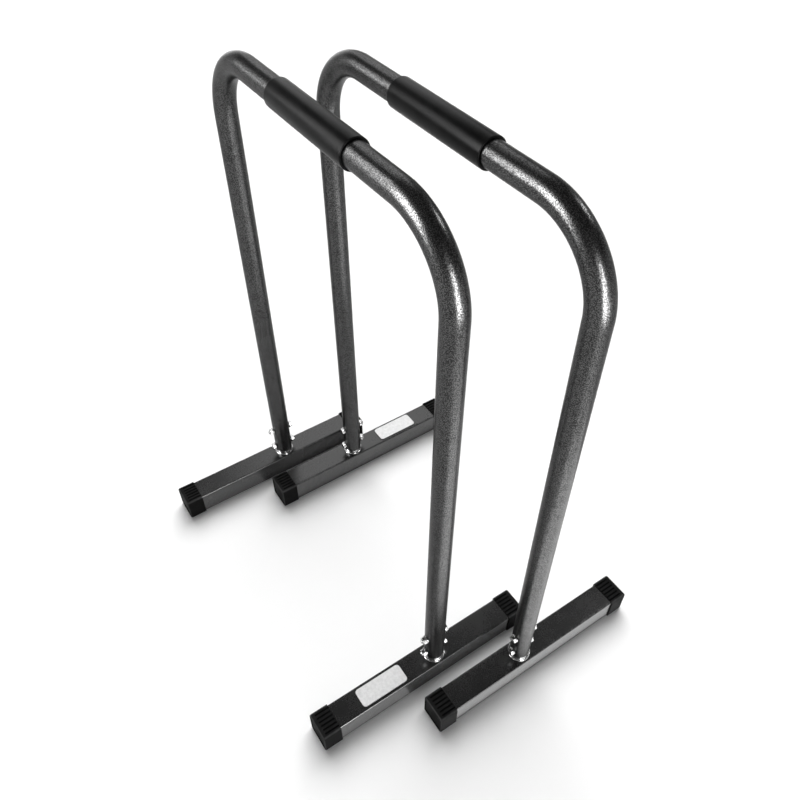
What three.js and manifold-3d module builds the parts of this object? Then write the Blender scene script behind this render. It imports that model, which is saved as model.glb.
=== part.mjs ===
// Dip station: two identical free-standing dip bars. Each is an inverted U of round steel tube, with a grip
// sleeve round the middle of the bar, bolted onto two square-tube feet that end in ribbed rubber caps.
// Millimetres, +Z up, X along the bars. The origin is on the floor, midway between the two stands.

import * as THREE from 'three';
import { mergeVertices } from 'three/addons/utils/BufferGeometryUtils.js';
import Module from 'manifold-3d';

const wasm = await Module();
wasm.setup();

// Layout of the pair: the right stand is the left one turned by half a turn
const barSpacing = 138; // between the two bars' axes
const stagger = 90; // how far the right stand is set along its bar

// Clearances
const seatGap = 0.3; // between two faces that bear on each other
const spigotGap = 0.5; // round the spigot, inside the leg
const holeGap = 0.3; // round a bolt
const overrun = 1; // how far a cutter runs past the face that it cuts

// Frame tube
const tubeRadius = 19;
const tubeWall = 1.5;
const barHeight = 1000; // the bar's axis above the floor
const legSpacing = 620; // between the two legs' axes
const bendRadius = 115; // of the tube's centre line

// Grip sleeve
const gripLength = 200;
const gripWall = 3.2;
const gripRounding = 1.2;

// Foot beam, a square tube that lies across the stand and reaches further to one side of the leg
const beamSize = 50;
const beamWall = 1.5;
const beamCorner = 3;
const longReach = 260; // from the leg's axis to the outer face of the cap
const shortReach = 204;

// End cap
const capLength = 37;
const capWall = 2;
const capEndWall = 4;
const capCorner = 4;
const capBevel = 3;
const capRibs = 7;
const grooveWidth = 3.2;
const grooveDepth = 1.1;
const grooveStop = 8; // from the end of a groove to the outer face

// Spigot on the foot, inside the leg, and the collar round its base
const spigotWall = 2;
const spigotHeight = 100;
const collarHeight = 10;
const collarLip = 3;
const collarRadius = 21.5;

// Leg bolts, one above the other, with a washer under each head and each nut
const boltRadius = 4;
const boltRise = 25; // from the foot to the lower bolt
const boltPitch = 50;
const boltTip = 3; // what shows past the nut
const hexFlats = 13; // across the flats of the heads and nuts
const headHeight = 5.3;
const nutHeight = 6.5;
const washerRadius = 8;
const washerThickness = 1.6;

// Badge plate on top of one foot
const plateLength = 98;
const plateWidth = 38;
const plateThickness = 1.5;
const plateCorner = 7;
const platePlace = 120; // from the leg's axis to the plate's middle

// Heights above the floor, from the caps' undersides up
const beamBottom = capWall + seatGap;
const beamTop = beamBottom + beamSize;
const footSeat = beamTop + seatGap;
const legBottom = footSeat + collarHeight + seatGap;
const washerSeat = tubeRadius + seatGap;
const hexSeat = washerSeat + washerThickness + seatGap;

// Sides of the round pieces
const tubeSides = 24;
const spigotSides = 16;
const boltSides = 12;
const washerSides = 12;
const bendSteps = 9;
const cornerSides = 2;

// A closed geometry as a solid that can be joined and cut
function solid(geometry) {
  geometry.deleteAttribute('normal');
  geometry.deleteAttribute('uv');
  const merged = mergeVertices(geometry);
  const vertProperties = merged.attributes.position.array;
  const triVerts = Uint32Array.from(merged.index.array);
  return new wasm.Manifold(new wasm.Mesh({ numProp: 3, vertProperties, triVerts }));
}

// A solid's faces as a geometry
function geometryOf(manifold) {
  const { vertProperties, triVerts } = manifold.getMesh();
  const geometry = new THREE.BufferGeometry();
  geometry.setAttribute('position', new THREE.BufferAttribute(vertProperties, 3));
  geometry.setIndex(new THREE.BufferAttribute(triVerts, 1));
  geometry.computeVertexNormals();
  return geometry;
}

// The outline of a rectangle with round corners, centred on the origin
function roundedRectangle(outline, width, height, corner) {
  const x = width / 2 - corner;
  const y = height / 2 - corner;
  outline.absarc(x, y, corner, 0, Math.PI / 2);
  outline.absarc(-x, y, corner, Math.PI / 2, Math.PI);
  outline.absarc(-x, -y, corner, Math.PI, 1.5 * Math.PI);
  outline.absarc(x, -y, corner, 1.5 * Math.PI, 2 * Math.PI);
  outline.closePath();
  return outline;
}

// A ring about the Y axis: its section runs once round, counterclockwise seen with the axis on the left
function ring(section, sides) {
  return new THREE.LatheGeometry(section.map(([r, y]) => new THREE.Vector2(r, y)), sides);
}

// A plain ring of rectangular section that stands on y = 0
function washerRing(innerRadius, outerRadius, height, sides) {
  const section = [
    [innerRadius, 0],
    [outerRadius, 0],
    [outerRadius, height],
    [innerRadius, height],
    [innerRadius, 0],
  ];
  return ring(section, sides);
}

// A hexagonal prism about the Y axis that stands on y = 0
function hexPrism(height) {
  const cornerRadius = hexFlats / 2 / Math.cos(Math.PI / 6);
  return new THREE.CylinderGeometry(cornerRadius, cornerRadius, height, 6).translate(0, height / 2, 0);
}

// A rod along the Y axis that starts at y = 0
function rod(radius, length, sides) {
  return new THREE.CylinderGeometry(radius, radius, length, sides).translate(0, length / 2, 0);
}

// The tube's centre line in the XZ plane: up one leg, round a bend, along the bar, round the other bend and down.
// Its parameter counts stations, so a straight run is one step however long it is.
class FrameLine extends THREE.Curve {
  getUtoTmapping(u) {
    return u;
  }

  getPoint(t, target = new THREE.Vector3()) {
    const station = t * FrameLine.steps;
    const side = t < 0.5 ? -1 : 1;
    const fromEnd = t < 0.5 ? station : FrameLine.steps - station;
    const bendX = legSpacing / 2 - bendRadius;
    const bendZ = barHeight - bendRadius;
    if (fromEnd < 1) {
      return target.set(side * legSpacing / 2, 0, THREE.MathUtils.lerp(legBottom, bendZ, fromEnd));
    }
    if (fromEnd <= 1 + bendSteps) {
      const angle = (fromEnd - 1) / bendSteps * Math.PI / 2;
      const x = bendX + bendRadius * Math.cos(angle);
      return target.set(side * x, 0, bendZ + bendRadius * Math.sin(angle));
    }
    const alongBar = 2 * (fromEnd - 1 - bendSteps);
    return target.set(side * bendX * (1 - alongBar), 0, barHeight);
  }
}
FrameLine.steps = 3 + 2 * bendSteps;

// Cutters for the bolt holes of the leg at x
function boltHoles(x) {
  const length = 2 * (tubeRadius + overrun);
  return [0, 1].map((row) => {
    const hole = rod(boltRadius + holeGap, length, boltSides);
    return solid(hole.translate(x, -length / 2, beamTop + boltRise + row * boltPitch));
  });
}

function frameTubeGeometry() {
  const section = new THREE.Shape().absarc(0, 0, tubeRadius, 0, 2 * Math.PI);
  section.holes.push(new THREE.Path().absarc(0, 0, tubeRadius - tubeWall, 0, 2 * Math.PI));
  const curveSegments = tubeSides / 2;
  const extrudePath = new FrameLine();
  let tube = solid(new THREE.ExtrudeGeometry(section, { steps: FrameLine.steps, curveSegments, extrudePath }));
  for (const side of [-1, 1]) {
    for (const hole of boltHoles(side * legSpacing / 2)) {
      tube = tube.subtract(hole);
    }
  }
  return geometryOf(tube);
}

function gripGeometry() {
  const bore = tubeRadius + seatGap;
  const outer = bore + gripWall;
  const end = gripLength / 2;
  const section = [
    [bore, -end],
    [outer - gripRounding, -end],
    [outer, gripRounding - end],
    [outer, end - gripRounding],
    [outer - gripRounding, end],
    [bore, end],
    [bore, -end],
  ];
  return ring(section, tubeSides).rotateZ(-Math.PI / 2);
}

// The beam stops short of the caps' end walls
function beamGeometry() {
  const section = roundedRectangle(new THREE.Shape(), beamSize, beamSize, beamCorner);
  const bore = beamSize - 2 * beamWall;
  section.holes.push(roundedRectangle(new THREE.Path(), bore, bore, beamCorner - beamWall));
  const depth = longReach + shortReach - 2 * (capEndWall + seatGap);
  const beam = new THREE.ExtrudeGeometry(section, { depth, bevelEnabled: false, curveSegments: cornerSides });
  return beam.rotateX(-Math.PI / 2).translate(0, capEndWall + seatGap - longReach, beamBottom + beamSize / 2);
}

// A cup that fits over the beam. Its outer face is at y = 0, its mouth faces +Y and its ribs are on top.
function capGeometry() {
  const bore = beamSize + 2 * seatGap;
  const size = bore + 2 * capWall;
  const blockOptions = {
    depth: capLength,
    curveSegments: cornerSides,
    bevelThickness: capBevel,
    bevelSize: capBevel,
    bevelOffset: -capBevel,
    bevelSegments: cornerSides,
  };
  const block = new THREE.ExtrudeGeometry(roundedRectangle(new THREE.Shape(), size, size, capCorner), blockOptions);
  const trim = new THREE.BoxGeometry(size, capLength, size).translate(0, capLength / 2, 0);
  const cavityOptions = { depth: capLength, bevelEnabled: false, curveSegments: cornerSides };
  const cavity = new THREE.ExtrudeGeometry(
    roundedRectangle(new THREE.Shape(), bore, bore, beamCorner + seatGap),
    cavityOptions,
  );
  let cap = solid(block.rotateX(-Math.PI / 2).translate(0, capBevel, 0)).intersect(solid(trim));
  cap = cap.subtract(solid(cavity.rotateX(-Math.PI / 2).translate(0, capEndWall, 0)));
  const ribPitch = size / capRibs;
  for (let i = 1; i < capRibs; i += 1) {
    const groove = new THREE.BoxGeometry(grooveWidth, capLength, 2 * grooveDepth);
    cap = cap.subtract(solid(groove.translate(i * ribPitch - size / 2, grooveStop + capLength / 2, size / 2)));
  }
  return geometryOf(cap).translate(0, 0, size / 2);
}

// The spigot of the leg at x = 0, cross-drilled for its bolts
function spigotGeometry() {
  const radius = tubeRadius - tubeWall - spigotGap;
  const tube = washerRing(radius - spigotWall, radius, spigotHeight, spigotSides);
  let spigot = solid(tube.rotateX(Math.PI / 2).translate(0, 0, footSeat));
  for (const hole of boltHoles(0)) {
    spigot = spigot.subtract(hole);
  }
  return geometryOf(spigot);
}

function collarGeometry() {
  const bore = tubeRadius - tubeWall - spigotGap + seatGap;
  const section = [
    [bore, 0],
    [collarRadius, 0],
    [collarRadius, collarLip],
    [tubeRadius, collarHeight],
    [bore, collarHeight],
    [bore, 0],
  ];
  return ring(section, tubeSides).rotateX(Math.PI / 2).translate(0, 0, footSeat);
}

// A bolt along Y, with its bearing face at y = 0, its head on the +Y side and its shank on the other
function boltGeometry() {
  const shankLength = 2 * hexSeat + nutHeight + boltTip;
  const shank = solid(rod(boltRadius, shankLength + headHeight / 2, boltSides).translate(0, -shankLength, 0));
  return geometryOf(solid(hexPrism(headHeight)).add(shank));
}

// A nut along Y with its bearing face at y = 0, on the -Y side of it
function nutGeometry() {
  const hex = solid(hexPrism(nutHeight).translate(0, -nutHeight, 0));
  const bore = rod(boltRadius + holeGap, nutHeight + 2 * overrun, boltSides).translate(0, -nutHeight - overrun, 0);
  return geometryOf(hex.subtract(solid(bore)));
}

function washerGeometry() {
  return washerRing(boltRadius + holeGap, washerRadius, washerThickness, washerSides);
}

function plateGeometry() {
  const outline = roundedRectangle(new THREE.Shape(), plateWidth, plateLength, plateCorner);
  const options = { depth: plateThickness, bevelEnabled: false, curveSegments: cornerSides * 2 };
  return new THREE.ExtrudeGeometry(outline, options).translate(0, 0, footSeat);
}

function hammertone() {
  return new THREE.MeshStandardMaterial({ color: 0x34363a, roughness: 0.35, metalness: 0.55 });
}

function powderCoat() {
  return new THREE.MeshStandardMaterial({ color: 0x2a2b2e, roughness: 0.5, metalness: 0.3 });
}

function rubber() {
  return new THREE.MeshStandardMaterial({ color: 0x141415, roughness: 0.75, metalness: 0 });
}

function zinc() {
  return new THREE.MeshStandardMaterial({ color: 0xd6d8da, roughness: 0.25, metalness: 1 });
}

function badgeMetal() {
  return new THREE.MeshStandardMaterial({ color: 0xdcdde0, roughness: 0.4, metalness: 0.6 });
}

function piece(name, geometry, material, place = [0, 0, 0]) {
  const mesh = new THREE.Mesh(geometry, material);
  mesh.name = name;
  mesh.position.set(...place);
  return mesh;
}

// One bolt through a leg, with its washers and its nut
function boltSet(name, height) {
  const set = new THREE.Group();
  set.position.z = height;
  set.add(piece(`${name}_bolt`, boltGeometry(), zinc(), [0, hexSeat, 0]));
  set.add(piece(`${name}_nut`, nutGeometry(), zinc(), [0, -hexSeat, 0]));
  set.add(piece(`${name}_head_washer`, washerGeometry(), zinc(), [0, washerSeat, 0]));
  set.add(piece(`${name}_nut_washer`, washerGeometry(), zinc(), [0, -washerSeat - washerThickness, 0]));
  return set;
}

// A foot under the leg at x, with what joins the leg to it. The long side of the foot is on -Y.
function foot(name, x) {
  const group = new THREE.Group();
  group.position.x = x;
  group.add(piece(`${name}_foot_beam`, beamGeometry(), powderCoat()));
  group.add(piece(`${name}_foot_long_cap`, capGeometry(), rubber(), [0, -longReach, 0]));
  const shortCap = piece(`${name}_foot_short_cap`, capGeometry(), rubber(), [0, shortReach, 0]);
  shortCap.rotation.z = Math.PI;
  group.add(shortCap);
  group.add(piece(`${name}_leg_spigot`, spigotGeometry(), zinc()));
  group.add(piece(`${name}_leg_collar`, collarGeometry(), zinc()));
  group.add(boltSet(`${name}_leg_lower`, beamTop + boltRise));
  group.add(boltSet(`${name}_leg_upper`, beamTop + boltRise + boltPitch));
  return group;
}

function stand(name) {
  const group = new THREE.Group();
  group.add(piece(`${name}_frame_tube`, frameTubeGeometry(), hammertone()));
  group.add(piece(`${name}_grip`, gripGeometry(), rubber(), [0, 0, barHeight]));
  group.add(foot(`${name}_badge`, legSpacing / 2));
  group.add(foot(`${name}_plain`, -legSpacing / 2));
  group.add(piece(`${name}_badge_plate`, plateGeometry(), badgeMetal(), [legSpacing / 2, -platePlace, 0]));
  return group;
}

const dipStation = new THREE.Group();
const leftStand = stand('left');
leftStand.position.set(-stagger / 2, -barSpacing / 2, 0);
const rightStand = stand('right');
rightStand.position.set(stagger / 2, barSpacing / 2, 0);
rightStand.rotation.z = Math.PI;
dipStation.add(leftStand, rightStand);

export default dipStation;
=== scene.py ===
# Two free-standing dip bars, set down side by side and turned opposite ways. Each is an inverted U
# of round steel tube with a grip sleeve, bolted onto two square-tube feet that end in ribbed rubber
# caps. Metres, +Z up, X along the bars. The left stand is on -Y; the right one is the same, turned
# by half a turn.
import math

import bpy
import numpy as np
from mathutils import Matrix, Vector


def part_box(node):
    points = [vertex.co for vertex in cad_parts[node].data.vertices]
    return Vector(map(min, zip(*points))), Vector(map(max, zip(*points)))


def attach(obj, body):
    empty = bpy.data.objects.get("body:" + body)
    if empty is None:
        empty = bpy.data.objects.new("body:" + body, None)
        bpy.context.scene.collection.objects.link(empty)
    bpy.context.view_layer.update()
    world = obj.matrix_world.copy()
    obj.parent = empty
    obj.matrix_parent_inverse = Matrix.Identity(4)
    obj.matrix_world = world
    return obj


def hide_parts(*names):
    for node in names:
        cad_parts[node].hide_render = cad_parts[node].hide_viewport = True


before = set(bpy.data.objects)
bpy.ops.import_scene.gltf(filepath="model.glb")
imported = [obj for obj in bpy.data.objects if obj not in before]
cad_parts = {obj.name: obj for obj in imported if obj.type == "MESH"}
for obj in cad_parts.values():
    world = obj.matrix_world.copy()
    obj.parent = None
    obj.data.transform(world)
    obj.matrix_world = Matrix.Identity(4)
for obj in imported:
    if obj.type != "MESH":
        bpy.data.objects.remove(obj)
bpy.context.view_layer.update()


# Foot beams: 50 mm square steel tube with 1.5 mm walls, sawn to length and powder coated satin
# black. One lies across the stand under each leg. The rubber caps on its ends hold it clear of the
# floor.
STANDS = ("left", "right")
FEET = [f"{stand}_{foot}" for stand in STANDS for foot in ("badge", "plain")]
QUARTER_TURN = math.pi / 2
SHARP_TURN = math.radians(40)  # faces that meet at more than this are shaded apart
BEAM_WALL = 0.0015
BEAM_CORNER = 0.003
BEAM_EDGE = 0.0002  # what the saw's burr was filed back to
BEAM_SIDE_POINTS = (9, 9, 9, 9)
BEAM_CORNER_POINTS = 8
COAT_DARK, COAT_LIGHT = 0.003, 0.007
HAZE_SCALE = 14.0  # faint patches to a metre
PEEL_SIZE = 0.0014  # of the ripples in the coat
PEEL_DEPTH = 0.000007


class Field:
    """A value that varies over a finish: one socket of its nodes. Arithmetic adds Math nodes."""

    def __init__(self, socket):
        self.socket = socket

    def math(self, operation, *values):
        """What a Math node makes of the values, which are Fields or plain numbers."""
        sockets = dict(enumerate(values))
        return wire(self.socket.id_data, "Math", {"operation": operation}, sockets)

    def __add__(self, other):
        return self.math("ADD", self, other)

    def __sub__(self, other):
        return self.math("SUBTRACT", self, other)

    def __rsub__(self, other):
        return self.math("SUBTRACT", other, self)

    def __mul__(self, other):
        return self.math("MULTIPLY", self, other)

    __radd__ = __add__
    __rmul__ = __mul__

    def between(self, low, high):
        """0 up to low, 1 from high on, and a smooth ramp between them."""
        settings = {"interpolation_type": "SMOOTHSTEP"}
        sockets = {"Value": self, "From Min": low, "From Max": high}
        return wire(self.socket.id_data, "MapRange", settings, sockets, "Result")


def feed(tree, socket, value):
    """Links a Field to the socket, or sets the socket to a plain value."""
    if isinstance(value, Field):
        tree.links.new(value.socket, socket)
    else:
        socket.default_value = value


def wire(tree, kind, settings, sockets, output=0):
    """A new node: its type, its settings, which are set first, and its sockets' values or links."""
    node = tree.nodes.new("ShaderNode" + kind)
    for name, value in settings.items():
        setattr(node, name, value)
    for name, value in sockets.items():
        feed(tree, node.inputs[name], value)
    return Field(node.outputs[output])


class Finish:
    """A material, or the studio's air: the block that holds it, its nodes and its one shader. Its
    patterns follow the coordinates that where names."""

    def __init__(self, name, shelf=bpy.data.materials, shader="Principled BSDF", where="Object"):
        self.block = shelf.new(name)
        self.block.use_nodes = True
        self.tree = self.block.node_tree
        self.shader = self.tree.nodes[shader]
        self.where = self.add("TexCoord", {}, {}, where)

    def add(self, kind, settings, sockets, output=0):
        """A new node among the others of this finish."""
        return wire(self.tree, kind, settings, sockets, output)

    def noise(self, scale, detail, roughness=0.5, output=0):
        """Clouds from 0 to 1, so many to a metre. Finer ones are added detail times, each of them
        as strong as the last one times the roughness."""
        sockets = {"Vector": self.where, "Scale": scale, "Detail": detail, "Roughness": roughness}
        return self.add("TexNoise", {}, sockets, output)

    def shade(self, share, start, end):
        """A colour that goes from start to end as the share goes from 0 to 1."""
        sockets = {"Factor": share, "A": start, "B": end}
        return self.add("Mix", {"data_type": "RGBA"}, sockets, "Result")

    def surface(self, sockets, relief=None, depth=0.0):
        """The shader's looks. A relief stands out by its own height times the depth."""
        if relief is not None:
            bump = self.add("Bump", {}, {"Height": relief, "Distance": depth})
            sockets = {**sockets, "Normal": bump}
        for name, value in sockets.items():
            feed(self.tree, self.shader.inputs[name], value)


def grey(level):
    """A neutral colour, from 0, black, to 1, white."""
    return (level, level, level, 1.0)


def box_lap(side_points, corner_points):
    """One lap round a box with round corners, counterclockwise. A column is a place on the box
    without its corners, as shares from -1 to 1, and the way it faces: the point is
    place x (half size - corner) + facing x corner. The first side faces the first axis. Its points
    gather towards its ends, so that the flats shade flat."""
    places, facings = [], []
    for quarter, points in enumerate(side_points):
        share = np.sin(np.linspace(-QUARTER_TURN, QUARTER_TURN, points))
        side = np.stack([np.ones(points), share], axis=1)
        angle = np.linspace(0, QUARTER_TURN, corner_points + 2)[1:-1]
        bend = np.stack([np.cos(angle), np.sin(angle)], axis=1)
        place = np.concatenate([side, np.ones((corner_points, 2))])
        facing = np.concatenate([np.tile([1.0, 0.0], (points, 1)), bend])
        c, s = round(math.cos(quarter * QUARTER_TURN)), round(math.sin(quarter * QUARTER_TURN))
        turn = np.array([[c, s], [-s, c]])
        places.append(place @ turn)
        facings.append(facing @ turn)
    return np.concatenate(places), np.concatenate(facings)


def loft(lap, rows):
    """The lap carried along Y, its first side on top. Each row gives the half height, half width,
    corner radius and place along Y of one lap."""
    place, facing = lap
    rows = np.array(rows, float)
    corner = rows[:, None, 2:3]
    across = place * (rows[:, None, :2] - corner) + facing * corner
    along = np.broadcast_to(rows[:, 3:4], across.shape[:2])
    return np.stack([across[..., 1], along, across[..., 0]], axis=-1)


def skin(name, grid, poles=False):
    """A closed mesh through a grid of points, rows x columns. The last column joins the first. The
    last row joins the first too, or, with poles, the first and the last row are one point each. It
    faces outwards where the columns run counterclockwise, seen from where the rows go."""
    rows, columns = grid.shape[:2]
    index = np.arange(rows * columns).reshape(rows, columns)
    fans = []
    if poles:
        points = np.concatenate([grid[0, :1], grid[1:-1].reshape(-1, 3), grid[-1, :1]])
        # The whole first row is point 0 now, and the whole last row is the last point
        index = np.clip(index - (columns - 1), 0, len(points) - 1)
        tip, tail = index[1], index[-2]
        start = np.stack([np.zeros_like(tip), np.roll(tip, -1), tip], axis=1)
        end = np.stack([tail, np.roll(tail, -1), np.full_like(tail, len(points) - 1)], axis=1)
        fans = np.concatenate([start, end]).tolist()
        here, there = index[1:-2], index[2:-1]
    else:
        points = grid.reshape(-1, 3)
        here, there = index, np.roll(index, -1, axis=0)
    quads = [here, np.roll(here, -1, axis=1), np.roll(there, -1, axis=1), there]
    faces = np.stack(quads, axis=-1).reshape(-1, 4).tolist() + fans
    mesh = bpy.data.meshes.new(name)
    mesh.from_pydata(points.tolist(), [], faces)
    mesh.shade_smooth()
    mesh.set_sharp_from_angle(angle=SHARP_TURN)
    return mesh


def place_in_scene(name, data):
    """A new object at the origin that holds a mesh, a lamp or the camera's lens."""
    thing = bpy.data.objects.new(name, data)
    bpy.context.scene.collection.objects.link(thing)
    return thing


def fit(node, grid, finish, turn=0.0, poles=False):
    """The shown piece for a CAD node. Its grid is drawn about the middle of its own box, for the
    left stand. It is turned about Z with its stand, and its middle goes to the middle of the node's
    box."""
    stand = node.split("_")[0]
    turn += math.pi * STANDS.index(stand)
    c, s = math.cos(turn), math.sin(turn)
    about_z = np.array([[c, s, 0], [-s, c, 0], [0, 0, 1]])
    low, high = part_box(node)
    middle = (grid.min((0, 1)) + grid.max((0, 1))) / 2
    points = (grid - middle) @ about_z + np.array(low + high) / 2
    piece = place_in_scene(node + "_shown", skin(node + "_shown", points, poles))
    piece.data.materials.append(finish.block)
    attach(piece, stand + "_stand")
    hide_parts(node)
    return piece


satin_coat = Finish("satin_black_powder_coat")
peel = satin_coat.noise(1 / PEEL_SIZE, detail=2.0)
haze = satin_coat.noise(HAZE_SCALE, detail=4.0, roughness=0.6)
satin_coat.surface(
    {
        "Base Color": satin_coat.shade(haze.between(0.3, 0.7), grey(COAT_DARK), grey(COAT_LIGHT)),
        "Roughness": 0.2 + haze * 0.1 + peel * 0.05,
        "IOR": 1.6,
    },
    relief=peel,
    depth=PEEL_DEPTH,
)

for foot in FEET:
    beam = f"{foot}_foot_beam"
    low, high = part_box(beam)
    half, end = (high.z - low.z) / 2, (high.y - low.y) / 2
    filed, filed_corner = half - BEAM_EDGE, BEAM_CORNER - BEAM_EDGE
    bore, bore_corner = half - BEAM_WALL, BEAM_CORNER - BEAM_WALL
    rows = [
        (filed, filed, filed_corner, -end),
        (half, half, BEAM_CORNER, BEAM_EDGE - end),
        (half, half, BEAM_CORNER, end - BEAM_EDGE),
        (filed, filed, filed_corner, end),
        (bore, bore, bore_corner, end),
        (bore, bore, bore_corner, -end),
    ]
    grid = loft(box_lap(BEAM_SIDE_POINTS, BEAM_CORNER_POINTS), rows)
    fit(beam, grid, satin_coat)


# Badge plates: a light sheet-metal plate with round corners and a thin black border, bonded on top
# of one foot of each stand. It is left bare.
UPRIGHT = [2, 0, 1]  # what was drawn along Y stands along Z
PLATE_CORNER = 0.007
PLATE_EDGE = 0.0003
PLATE_BORDER = 0.0006
BORDER_BLUR = 0.0001  # to either side of the border's inner edge
UNDERSIDE_INSET = 0.003
TOP_INSETS = (0.0005, 0.0007, 0.0012, 0.0025, 0.006, 0.012)  # of rows on top, close at the border
PLATE_SIDE_POINTS = (12, 30, 12, 30)
PLATE_CORNER_POINTS = 10
SILVER_DARK, SILVER_LIGHT = 0.5, 0.6
BORDER_BLACK = 0.012
MOTTLE_SCALE = 160.0
GRAIN_SCALE = 2200.0
FIELD_RISE = 2  # of the light field over the border, in depths of the grain
GRAIN_DEPTH = 0.00002

badge_metal = Finish("light_badge_metal")
inset = badge_metal.add("Attribute", {"attribute_name": "inset"}, {}, "Fac")
mottle = badge_metal.noise(MOTTLE_SCALE, detail=5.0, roughness=0.65)
grain = badge_metal.noise(GRAIN_SCALE, detail=2.0)
field = inset.between(PLATE_BORDER - BORDER_BLUR, PLATE_BORDER + BORDER_BLUR)
silver = badge_metal.shade(mottle.between(0.3, 0.7), grey(SILVER_DARK), grey(SILVER_LIGHT))
badge_metal.surface(
    {
        "Base Color": badge_metal.shade(field, grey(BORDER_BLACK), silver),
        "Metallic": field * 0.35,
        "Roughness": 0.38 + mottle * 0.12,
    },
    relief=grain + field * FIELD_RISE,
    depth=GRAIN_DEPTH,
)


def mark(piece, name, values):
    """Gives each point of a grid with poles a number, which the finish reads by its name."""
    values = np.concatenate([values[0, :1], values[1:-1].ravel(), values[-1, :1]])
    attribute = piece.data.attributes.new(name, "FLOAT", "POINT")
    attribute.data.foreach_set("value", values.astype(np.float32))


for stand in STANDS:
    plate = f"{stand}_badge_plate"
    low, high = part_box(plate)
    half = np.array(high - low) / 2
    thickness = 2 * half[2]
    # Rows from one point in the middle of the underside, out over the edge and in again over the
    # top to one point in its middle
    insets = [half[0], UNDERSIDE_INSET, PLATE_EDGE, 0, 0, PLATE_EDGE, *TOP_INSETS, half[0]]
    rises = [0, 0, 0, PLATE_EDGE, thickness - PLATE_EDGE]
    rises += [thickness] * (len(insets) - len(rises))
    rows = [
        (half[0] - short, half[1] - short, max(PLATE_CORNER - short, 0), rise)
        for short, rise in zip(insets, rises)
    ]
    rows[0], rows[-1] = (0, 0, 0, 0), (0, 0, 0, thickness)
    grid = loft(box_lap(PLATE_SIDE_POINTS, PLATE_CORNER_POINTS), rows)[..., UPRIGHT]
    shown = fit(plate, grid, badge_metal, poles=True)
    mark(shown, "inset", np.repeat(np.array(insets)[:, None], grid.shape[1], axis=1))


# Spigots and collars: each foot has a plated steel stub that stands up inside the leg, and a bright
# turned collar round it that closes the joint between the leg and the foot.
COLLAR_LIP = 0.003  # height of the wide part, which the neck stands on
COLLAR_EDGE = 0.0004
COLLAR_ROUNDING = 0.001
COLLAR_NECK_RADIUS = 0.019
COLLAR_BORE_RADIUS = 0.0173
COLLAR_COLUMNS = 96
ROUNDING_ROWS = 7
PLATING_LIGHT, PLATING_DARK = 0.46, 0.3
STAIN_SCALE = 260.0
TURNING_SCALES = (40.0, 40.0, 2500.0)  # marks of the lathe to a metre along X, Y and Z
TURNING_DEPTH = 0.000004

plated_steel = Finish("plated_steel")
lathe = plated_steel.add("Mapping", {}, {"Vector": plated_steel.where, "Scale": TURNING_SCALES})
turning = plated_steel.add("TexNoise", {}, {"Vector": lathe, "Scale": 1.0, "Detail": 2.0})
stain = plated_steel.noise(STAIN_SCALE, detail=4.0)
stained = stain.between(0.35, 0.7)
plated_steel.surface(
    {
        "Base Color": plated_steel.shade(stained, grey(PLATING_LIGHT), grey(PLATING_DARK)),
        "Metallic": 1.0,
        "Roughness": 0.14 + stain * 0.12,
    },
    relief=turning,
    depth=TURNING_DEPTH,
)


def turned(rows, columns):
    """A profile turned about Y: each row gives a radius and a place along Y. The columns run once
    round: radius x sine of the angle on X, and radius x cosine on Z."""
    angle = np.arange(columns) / columns * 2 * math.pi
    radius, along = np.array(rows, float).T[:, :, None]
    return np.stack([radius * np.sin(angle), along + 0 * angle, radius * np.cos(angle)], axis=-1)


def rounded(radius, along, rounding):
    """Rows of a quarter circle over the outer edge of a turned piece, from its side to its end:
    radius - rounding x (1 - cosine), along - rounding x (1 - sine)."""
    return [
        (radius - rounding * (1 - math.cos(a)), along - rounding * (1 - math.sin(a)))
        for a in np.linspace(0, QUARTER_TURN, ROUNDING_ROWS)
    ]


for foot in FEET:
    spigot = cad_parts[f"{foot}_leg_spigot"]
    spigot.data.materials.clear()
    spigot.data.materials.append(plated_steel.block)
    collar = f"{foot}_leg_collar"
    low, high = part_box(collar)
    radius, height = (high.x - low.x) / 2, high.z - low.z
    rows = [
        (COLLAR_BORE_RADIUS, 0),
        (radius - COLLAR_EDGE, 0),
        (radius, COLLAR_EDGE),
        *rounded(radius, COLLAR_LIP, COLLAR_ROUNDING),
        (COLLAR_NECK_RADIUS + COLLAR_EDGE, COLLAR_LIP),
        (COLLAR_NECK_RADIUS, COLLAR_LIP + COLLAR_EDGE),
        (COLLAR_NECK_RADIUS, height - COLLAR_EDGE),
        (COLLAR_NECK_RADIUS - COLLAR_EDGE, height),
        (COLLAR_BORE_RADIUS, height),
    ]
    fit(collar, turned(rows, COLLAR_COLUMNS)[..., UPRIGHT], plated_steel)


# End caps: black rubber cups pushed over the ends of each foot beam, which the stand rests on. Six
# moulded grooves leave seven ribs on the top and stop short of the rounded end, and the end face
# has a shallow panel. Painted shade darkens the grooves. The edges are painted a lighter grey,
# for scuffing and as a painted highlight on the corners and the bevel.
CAP_WALL = 0.002
CAP_END_WALL = 0.004
CAP_CORNER = 0.004
CAP_FACE_CORNER = 0.0025
CAP_BEVEL = 0.003
CAP_BEVEL_ROWS = 7
CAP_LIP = 0.0004  # bevel round the mouth
CAP_SIDE_POINTS = (150, 8, 8, 8)  # the grooved top comes first
CAP_CORNER_POINTS = 6
CAP_RIBS = 7
GROOVE_WIDTH = 0.0032
GROOVE_DEPTH = 0.0014
GROOVE_STOP = 0.008  # from the end face
GROOVE_FLANK = 0.0007  # width of its slope
GROOVE_END_ROWS = np.linspace(0.0045, 0.011, 20)  # the grooves' round ends need close rows
STRAIGHT_FROM, STRAIGHT_ROWS = 0.014, 6  # from there to the mouth
PANEL_MARGIN = 0.0055
PANEL_DEPTH = 0.0012
PANEL_CORNER = 0.002
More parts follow.
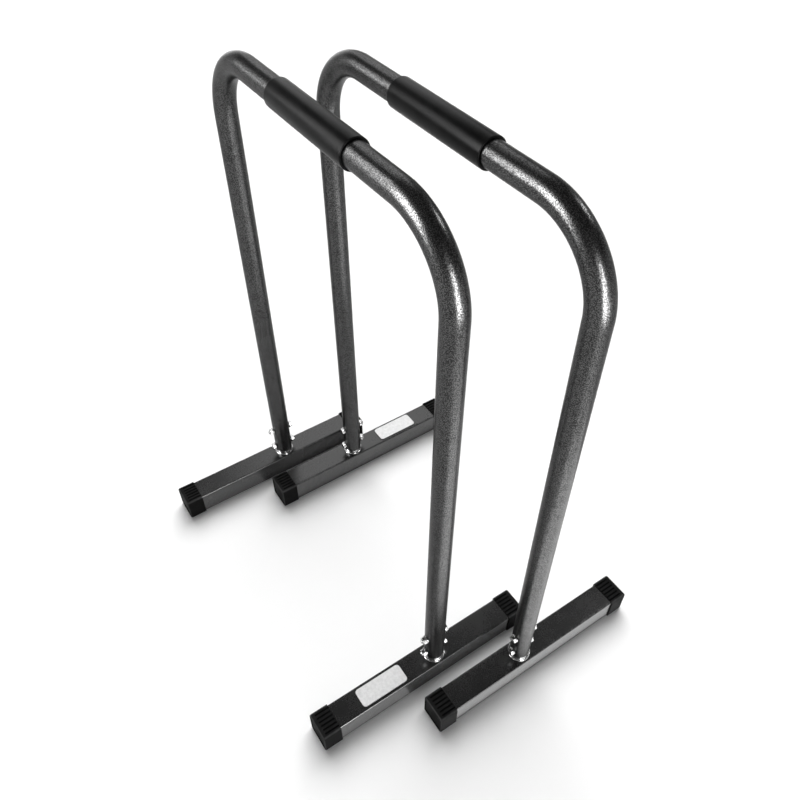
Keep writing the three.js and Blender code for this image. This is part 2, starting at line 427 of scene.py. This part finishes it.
# The last grey is that of the edges, for scuffing and as a painted highlight
RUBBER_DARK, RUBBER_LIGHT, RUBBER_SCUFF_AND_HIGHLIGHT = 0.002, 0.013, 0.06
DUST_SCALE = 60.0
RUBBER_GRAIN_SCALE = 1400.0
RUBBER_GRAIN_DEPTH = 0.00006

cap_rubber = Finish("moulded_black_rubber")
grain = cap_rubber.noise(RUBBER_GRAIN_SCALE, detail=3.0, roughness=0.6)
dust = cap_rubber.noise(DUST_SCALE, detail=5.0, roughness=0.65)
groove = cap_rubber.add("Attribute", {"attribute_name": "groove"}, {}, "Fac")
edge = cap_rubber.add("Attribute", {"attribute_name": "edge"}, {}, "Fac")
# Painted shade: the grooves are set to the darkest grey, and dust lightens the rest of the rubber
dust_and_groove_shade = (0.5 + dust.between(0.35, 0.75) * 0.5) * (1 - groove)
# Scuffing and a painted highlight: the marked edges are lightened towards a paler grey
scuff_and_edge_highlight = edge * (0.6 + dust.between(0.3, 0.7) * 0.4)
moulded = cap_rubber.shade(dust_and_groove_shade, grey(RUBBER_DARK), grey(RUBBER_LIGHT))
cap_rubber.surface(
    {
        "Base Color": cap_rubber.shade(scuff_and_edge_highlight, moulded, grey(RUBBER_SCUFF_AND_HIGHLIGHT)),
        "Roughness": 0.42 + dust * 0.16 + groove * 0.3,
        "Specular IOR Level": 0.012,
    },
    relief=grain,
    depth=RUBBER_GRAIN_DEPTH,
)


def cap_grid(half, length):
    """The cap's points, and what marks its grooves and its edges. Rows run from the middle of the
    end face, out over the bevel, along the sides to the mouth and back inside to the end wall. Each
    groove is a slot with a round end, cut into the top: its depth is a smooth step of the distance
    to the slot's middle line. An edge is marked by the sine of twice the angle it has turned."""
    face, panel, bore = half - CAP_BEVEL, half - PANEL_MARGIN, half - CAP_WALL
    rows = [
        (0, 0, 0, PANEL_DEPTH),
        (panel / 2, panel / 2, PANEL_CORNER, PANEL_DEPTH),
        (panel, panel, PANEL_CORNER, PANEL_DEPTH),
        (panel + PANEL_DEPTH, panel + PANEL_DEPTH, CAP_FACE_CORNER, 0),
        (face, face, CAP_FACE_CORNER, 0),
    ]
    bevel = slice(len(rows), len(rows) + CAP_BEVEL_ROWS)
    turns = np.linspace(0, QUARTER_TURN, CAP_BEVEL_ROWS + 1)[1:]
    for turn in turns:
        size = face + CAP_BEVEL * math.sin(turn)
        corner = CAP_FACE_CORNER + (CAP_CORNER - CAP_FACE_CORNER) * math.sin(turn)
        rows.append((size, size, corner, CAP_BEVEL * (1 - math.cos(turn))))
    straight = np.linspace(STRAIGHT_FROM, length - CAP_LIP, STRAIGHT_ROWS)
    rows += [(half, half, CAP_CORNER, y) for y in (*GROOVE_END_ROWS, *straight)]
    rows.append((half - CAP_LIP, half - CAP_LIP, CAP_CORNER - CAP_LIP, length))
    outside = len(rows)
    rows += [(bore, bore, CAP_CORNER - CAP_LIP, y) for y in (length, CAP_END_WALL)]
    rows.append((0, 0, 0, CAP_END_WALL))
    lap = box_lap(CAP_SIDE_POINTS, CAP_CORNER_POINTS)
    facing = lap[1]
    grid = loft(lap, rows)

    # The grooves between the ribs, one pitch apart, in the columns that face straight up
    top = facing[:, 0] > 0.999
    pitch = 2 * half / CAP_RIBS
    most = CAP_RIBS // 2
    x, y = grid[:outside, top, 0], grid[:outside, top, 1]
    centre = np.clip(np.round(x / pitch + 0.5), 1 - most, most) * pitch - pitch / 2
    short = np.maximum(GROOVE_STOP + GROOVE_WIDTH / 2 - y, 0)
    inside = (GROOVE_WIDTH / 2 - np.hypot(x - centre, short)) / GROOVE_FLANK + 0.5
    inside = np.clip(inside, 0, 1)
    groove = np.zeros(grid.shape[:2])
    groove[:outside, top] = inside ** 2 * (3 - 2 * inside)
    grid[..., 2] -= GROOVE_DEPTH * groove

    # The edges, along the corners and round the bevel, which the finish paints lighter, for
    # scuffing and as a painted highlight. The first three rows lie in the panel
    edge = np.zeros(grid.shape[:2])
    edge[3:outside] = 2 * np.abs(facing.prod(axis=1))
    edge[bevel] = np.maximum(edge[bevel], np.sin(2 * turns)[:, None])
    return grid, groove, edge


for foot in FEET:
    for reach, turn in (("long", 0.0), ("short", math.pi)):
        cap = f"{foot}_foot_{reach}_cap"
        low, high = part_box(cap)
        grid, groove, edge = cap_grid((high.x - low.x) / 2, high.y - low.y)
        shown = fit(cap, grid, cap_rubber, turn, poles=True)
        mark(shown, "groove", groove)
        mark(shown, "edge", edge)


# Frame tubes: 38 mm round steel tube with 1.5 mm walls, cold bent into an inverted U and finished
# in a dark hammertone coat, which dries into small shiny dimples. Its legs stand over the spigots.
TUBE_WALL = 0.0015
TUBE_COLUMNS = 96
BEND_RADIUS = 0.115
BEND_ROWS, LEG_ROWS, BAR_ROWS = 49, 9, 5
HAMMERTONE_DARK, HAMMERTONE_LIGHT = 0.018, 0.135
DIMPLE_SIZE = 0.0014
DIMPLE_DEPTH = 0.00009
DIMPLE_STRAY = 0.0012  # how far the dimples stray from an even spread
STRAY_SCALE = 300.0
FINE_SCALE = 1500.0
CLOUD_SCALE = 45.0

hammertone = Finish("dark_hammertone_coat")
stray = hammertone.noise(STRAY_SCALE, detail=1.0, output="Color")
strayed = hammertone.add(
    "VectorMath",
    {"operation": "MULTIPLY_ADD"},
    {0: stray, 1: (DIMPLE_STRAY, DIMPLE_STRAY, DIMPLE_STRAY), 2: hammertone.where},
)
spread = hammertone.add(
    "TexVoronoi",
    {"feature": "SMOOTH_F1"},
    {"Vector": strayed, "Scale": 1 / DIMPLE_SIZE, "Smoothness": 0.5},
    "Distance",
)
fine = hammertone.noise(FINE_SCALE, detail=2.0)
cloud = hammertone.noise(CLOUD_SCALE, detail=3.0)
# The coat is lightest where it pools, in the middle of each dimple
pooled = (1 - spread.between(0.15, 0.65)) * 0.8 + cloud * 0.2
hammertone.surface(
    {
        "Base Color": hammertone.shade(pooled, grey(HAMMERTONE_DARK), grey(HAMMERTONE_LIGHT)),
        "Metallic": 0.95,
        "Roughness": 0.24 + fine * 0.08,
        "Specular Tint": grey(0.6),
    },
    relief=spread * spread + fine * 0.02,
    depth=DIMPLE_DEPTH,
)


def frame_line(half_span, bottom, top):
    """The tube's centre line in the XZ plane and the way out from it, in the plane: up one leg, a
    quarter turn, along the bar, a quarter turn and down the other leg."""
    angle = np.linspace(0, QUARTER_TURN, BEND_ROWS)
    centre = np.array([half_span - BEND_RADIUS, top - BEND_RADIUS])
    bend_out = np.stack([np.cos(angle), np.sin(angle)], axis=1)
    bend = centre + BEND_RADIUS * bend_out
    heights = np.linspace(bottom, centre[1], LEG_ROWS + 1)[:-1]
    leg = np.stack([np.full(LEG_ROWS, half_span), heights], axis=1)
    places = np.linspace(centre[0], 0, BAR_ROWS + 1)[1:]
    bar = np.stack([places, np.full(BAR_ROWS, top)], axis=1)
    line = np.concatenate([leg, bend, bar])
    leg_out, bar_out = np.tile([1.0, 0.0], (LEG_ROWS, 1)), np.tile([0.0, 1.0], (BAR_ROWS, 1))
    out = np.concatenate([leg_out, bend_out, bar_out])
    # So far it is the half at +X, up to the middle of the bar. Its mirror image goes before it
    mirror = np.array([-1, 1])
    line = np.concatenate([line * mirror, line[-2::-1]])
    return line, np.concatenate([out * mirror, out[-2::-1]])


def tube_grid(radius, wall, line, out, columns):
    """A ring of columns carried along the line outside, and back again inside the wall. A point of
    the ring is out x cosine - Y x sine of its angle, times the radius, from the line."""
    angle = np.arange(columns) / columns * 2 * math.pi
    flat = np.stack([out[:, 0], np.zeros(len(out)), out[:, 1]], axis=1)
    centres = np.stack([line[:, 0], np.zeros(len(line)), line[:, 1]], axis=1)
    sideways = np.array([0, 1, 0]) * np.sin(angle)[:, None]
    ring = flat[:, None] * np.cos(angle)[:, None] - sideways
    outside = centres[:, None] + radius * ring
    inside = centres[:, None] + (radius - wall) * ring
    return np.concatenate([outside, inside[::-1]])


for stand in STANDS:
    tube = f"{stand}_frame_tube"
    low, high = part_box(tube)
    radius = (high.y - low.y) / 2
    line, out = frame_line((high.x - low.x) / 2 - radius, low.z, high.z - radius)
    grid = tube_grid(radius, TUBE_WALL, line, out, TUBE_COLUMNS)
    fit(tube, grid, hammertone)


# Leg fasteners: two M8 hexagon bolts through each leg and its spigot, one above the other, with a
# washer under each head and each nut. All are bright zinc plated.
BOLT_RADIUS = 0.004
BOLT_TIP = 0.001  # bevel before the thread
THREAD_LENGTH = 0.013
THREAD_PITCH = 0.00125
THREAD_ROWS = 8  # in each pitch
THREAD_DEPTH = 0.00065
HEX_FLATS = 0.013
HEX_CORNER = HEX_FLATS / 2 / math.cos(math.pi / 6)
HEX_CHAMFER = 0.0009
HEX_CHAMFER_DROP = HEX_CHAMFER / math.sqrt(3)
HEX_CHAMFER_ROWS = 5
HEX_COLUMNS = 72
HEAD_HEIGHT = 0.0053
HEAD_SEAT = 0.0003  # of the round face under the head, which flares a little
HEAD_SEAT_FLARE = 0.0001
NUT_SLACK = 0.00005  # of the bore round the thread
NUT_COUNTERSINK = 0.0005
WASHER_SLACK = 0.0003
WASHER_EDGE = 0.0002
WASHER_COLUMNS = 60
ZINC_LIGHT, ZINC_DARK = 0.55, 0.25
SPANGLE_SCALE = 420.0
SCUFF_SCALE = 1800.0
SCUFF_DEPTH = 0.000015

zinc = Finish("bright_zinc_plate")
spangle = zinc.noise(SPANGLE_SCALE, detail=4.0, roughness=0.6)
scuff = zinc.noise(SCUFF_SCALE, detail=3.0)
zinc.surface(
    {
        "Base Color": zinc.shade(spangle.between(0.35, 0.7), grey(ZINC_LIGHT), grey(ZINC_DARK)),
        "Metallic": 1.0,
        "Roughness": 0.06 + spangle * 0.1,
    },
    relief=scuff,
    depth=SCUFF_DEPTH,
)


def hexagon(grid, flats):
    """The grid drawn in, where it stands out, to a hexagon of that size across its flats, about Y:
    the flat lies at half the size / cosine of the angle from the middle of the flat."""
    angle = np.arctan2(grid[..., 0], grid[..., 2])
    sixth = math.pi / 3
    limit = flats / 2 / np.cos((angle + sixth / 2) % sixth - sixth / 2)
    share = np.minimum(limit / np.maximum(np.hypot(grid[..., 0], grid[..., 2]), 1e-9), 1)
    return grid * np.stack([share, np.ones_like(share), share], axis=-1)


def bolt_grid(length):
    """Rows run from the tip of the shank to the top of the head. The thread's radius falls from
    crest to root and back once in each pitch, and the crest moves along by one pitch in a turn. The
    head is a cone-edged disc drawn in to a hexagon."""
    under, seat = length - HEAD_HEIGHT, HEX_FLATS / 2 - HEAD_SEAT
    places = np.arange(THREAD_PITCH, THREAD_LENGTH, THREAD_PITCH / THREAD_ROWS)
    rows = [
        (0, 0),
        (BOLT_RADIUS - BOLT_TIP, 0),
        *[(BOLT_RADIUS, y) for y in places],
        (BOLT_RADIUS, THREAD_LENGTH + THREAD_PITCH),
        (BOLT_RADIUS, under),
        (seat, under),
        (seat + HEAD_SEAT_FLARE, under + HEAD_SEAT),
        (HEX_CORNER, under + HEAD_SEAT),
    ]
    for share in np.linspace(0, 1, HEX_CHAMFER_ROWS):
        rows.append((HEX_CORNER - share * HEX_CHAMFER, length - HEX_CHAMFER_DROP * (1 - share)))
    rows += [(HEX_FLATS / 4, length), (0, length)]
    grid = turned(rows, HEX_COLUMNS)
    thread = slice(2, 2 + len(places))
    phase = grid[thread, :, 1] / THREAD_PITCH - np.arange(HEX_COLUMNS) / HEX_COLUMNS
    depth = THREAD_DEPTH * np.abs(2 * (phase % 1) - 1)
    # X and Z are drawn in by the depth, and the place along Y stays
    grid[thread, :, ::2] *= 1 - depth[..., None] / BOLT_RADIUS
    return hexagon(grid, HEX_FLATS)


def nut_grid(height):
    """Rows run along the outside, with a cone edge at both ends, and back through the bore."""
    bore = BOLT_RADIUS + NUT_SLACK
    rows = [
        (bore + NUT_COUNTERSINK, 0),
        (HEX_CORNER - HEX_CHAMFER, 0),
        (HEX_CORNER - HEX_CHAMFER / 2, HEX_CHAMFER_DROP / 2),
        (HEX_CORNER, HEX_CHAMFER_DROP),
        (HEX_CORNER, height - HEX_CHAMFER_DROP),
        (HEX_CORNER - HEX_CHAMFER / 2, height - HEX_CHAMFER_DROP / 2),
        (HEX_CORNER - HEX_CHAMFER, height),
        (bore + NUT_COUNTERSINK, height),
        (bore, height - NUT_COUNTERSINK),
        (bore, NUT_COUNTERSINK),
    ]
    return hexagon(turned(rows, HEX_COLUMNS), HEX_FLATS)


def washer_grid(radius, thickness):
    """Rows run from the bore over one face, the rim and the other face back to the bore."""
    bore = BOLT_RADIUS + WASHER_SLACK
    rows = [
        (bore, 0),
        (radius - WASHER_EDGE, 0),
        (radius, WASHER_EDGE),
        (radius, thickness - WASHER_EDGE),
        (radius - WASHER_EDGE, thickness),
        (bore, thickness),
    ]
    return turned(rows, WASHER_COLUMNS)


for foot in FEET:
    for row in ("lower", "upper"):
        fastener = f"{foot}_leg_{row}"
        low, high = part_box(f"{fastener}_bolt")
        fit(f"{fastener}_bolt", bolt_grid(high.y - low.y), zinc, poles=True)
        low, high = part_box(f"{fastener}_nut")
        fit(f"{fastener}_nut", nut_grid(high.y - low.y), zinc)
        for side in ("head", "nut"):
            low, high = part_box(f"{fastener}_{side}_washer")
            grid = washer_grid((high.z - low.z) / 2, high.y - low.y)
            fit(f"{fastener}_{side}_washer", grid, zinc)


# Grips: a black rubber sleeve pushed onto the middle of each bar, with rounded rims. Hands have
# polished it in patches.
ALONG_BAR = [1, 2, 0]  # what was drawn along Y lies along X
GRIP_WALL = 0.0032
GRIP_ROUNDING = 0.0012
GRIP_COLUMNS = 96
GRIP_DARK, GRIP_LIGHT = 0.003, 0.006
WIPE_SCALE = 25.0
PORE_SCALE = 1900.0
PORE_DEPTH = 0.00005

grip_rubber = Finish("satin_black_grip_rubber")
pore = grip_rubber.noise(PORE_SCALE, detail=3.0, roughness=0.6)
wipe = grip_rubber.noise(WIPE_SCALE, detail=4.0)
grip_rubber.surface(
    {
        "Base Color": grip_rubber.shade(wipe.between(0.3, 0.7), grey(GRIP_DARK), grey(GRIP_LIGHT)),
        "Roughness": 0.27 + wipe * 0.1,
        "Specular IOR Level": 0.06,
    },
    relief=pore,
    depth=PORE_DEPTH,
)

for stand in STANDS:
    grip = f"{stand}_grip"
    low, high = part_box(grip)
    radius, end = (high.z - low.z) / 2, (high.x - low.x) / 2
    rim = rounded(radius, end, GRIP_ROUNDING)
    rows = [(r, -x) for r, x in rim[::-1]] + rim
    rows += [(radius - GRIP_WALL, end), (radius - GRIP_WALL, -end)]
    fit(grip, turned(rows, GRIP_COLUMNS)[..., ALONG_BAR], grip_rubber)


# The studio: a pale floor, lit from overhead and from behind, under a dark ceiling that fades to a
# pale horizon. Soft boxes round the bars and flat panels on the floor show in the gloss alone. The
# camera stands where the photograph was taken from.
FLOOR_RADIUS = 9.0
FLOOR_SIDES = 96
FLOOR_GREY = 0.82
PATCH_SCALE = 2.0
SOFT_BOXES = {  # place, the point it faces, width, height and power in watts
    "left_box": ((-0.65, -1.75, 1.6), (0.15, 0.0, 0.95), 1.1, 1.3, 102.0),
    "side_box": ((-1.4, -1.05, 1.75), (0.1, -0.05, 1.0), 0.6, 1.0, 13.0),
    "right_box": ((1.85, -0.25, 0.9), (0.3, 0.0, 0.9), 0.6, 1.5, 66.0),
    "back_box": ((-3.2, 0.8, 0.9), (0.0, 0.0, 0.5), 1.3, 1.2, 8.0),
    "rear_box": ((0.28, 1.4, 1.95), (0.28, 0.0, 1.0), 0.25, 0.25, 6.0),
    "ceiling_box": ((-1.95, 1.05, 2.3), (-0.25, 0.1, 0.05), 1.6, 1.6, 15.0),
    "low_box": ((1.75, 0.25, 0.45), (0.3, 0.0, 0.3), 0.6, 0.4, 7.0),
}
FLOOR_PANELS = {  # middle on X and on Y, width, length and power in watts, facing up
    "right_panel": (0.71, 0.18, 0.56, 0.84, 4.0),
    "right_foot_panel": (0.407, 0.1, 0.048, 0.46, 0.078),
    "left_foot_panel": (0.317, -0.24, 0.05, 0.2, 0.017),
    "far_left_foot_panel": (-0.31, -0.235, 0.035, 0.19, 0.01),
    "far_right_foot_panel": (-0.215, 0.1, 0.04, 0.46, 0.03),
}
FLOOR_PANEL_RISE = 0.002
SUNS = {  # turns about X, Y and Z in degrees, width in degrees and strength
    "overhead_light": ((0.0, 0.0, 0.0), 130.0, 0.45),
    "back_light": ((0.0, -40.0, -35.0), 60.0, 4.2),
}
CEILING_GLOW = 0.1
HORIZON_GLOW = 0.7  # on top of the ceiling's
HORIZON_FADE = (0.05, 0.5)  # sines of the angles above it where the fade starts and ends
CAMERA_PLACE = (0.78900, -0.49181, 1.45493)
CAMERA_TURN = (43.853, 0.141, 56.354)  # degrees about X, Y and Z
CAMERA_LENS, CAMERA_SENSOR = 34.287, 36.0  # millimetres

paint = Finish("pale_floor")
patch = paint.noise(PATCH_SCALE, detail=2.0)
paint.surface({"Base Color": grey(FLOOR_GREY), "Roughness": 0.75 + patch * 0.1})
angle = np.arange(FLOOR_SIDES) / FLOOR_SIDES * 2 * math.pi
rim = FLOOR_RADIUS * np.stack([np.cos(angle), np.sin(angle), 0 * angle], axis=1)
sheet = bpy.data.meshes.new("floor")
sheet.from_pydata(rim.tolist(), [], [list(range(FLOOR_SIDES))])
sheet.materials.append(paint.block)
floor = place_in_scene("floor", sheet)


def soft_box(name, place, target, width, height, power):
    """A glowing rectangle that shows in the gloss alone."""
    lamp = bpy.data.lights.new(name, "AREA")
    lamp.shape = "RECTANGLE"
    lamp.size, lamp.size_y, lamp.energy = width, height, power
    box = place_in_scene(name, lamp)
    box.location = place
    aim = Vector(target) - Vector(place)
    box.rotation_euler = aim.to_track_quat("-Z", "Y").to_euler()
    box.visible_camera = False
    box.visible_diffuse = False


for name, settings in SOFT_BOXES.items():
    soft_box(name, *settings)
for name, (x, y, width, length, power) in FLOOR_PANELS.items():
    soft_box(name, (x, y, FLOOR_PANEL_RISE), (x, y, 1.0), width, length, power)

for name, (turns, width, strength) in SUNS.items():
    lamp = bpy.data.lights.new(name, "SUN")
    lamp.angle, lamp.energy = math.radians(width), strength
    sun = place_in_scene(name, lamp)
    sun.rotation_euler = [math.radians(turn) for turn in turns]
    sun.visible_glossy = False

air = Finish("studio", bpy.data.worlds, "Background", "Generated")
rise = air.add("SeparateXYZ", {}, {0: air.where}, "Z")
glow = CEILING_GLOW + (1 - rise.between(*HORIZON_FADE)) * HORIZON_GLOW
air.surface({"Color": grey(1.0), "Strength": glow})
bpy.context.scene.world = air.block

lens = bpy.data.cameras.new("camera")
lens.lens, lens.sensor_width = CAMERA_LENS, CAMERA_SENSOR
camera = place_in_scene("camera", lens)
camera.location = CAMERA_PLACE
camera.rotation_euler = [math.radians(turn) for turn in CAMERA_TURN]
bpy.context.scene.camera = camera
bpy.context.scene.view_settings.view_transform = "Standard"
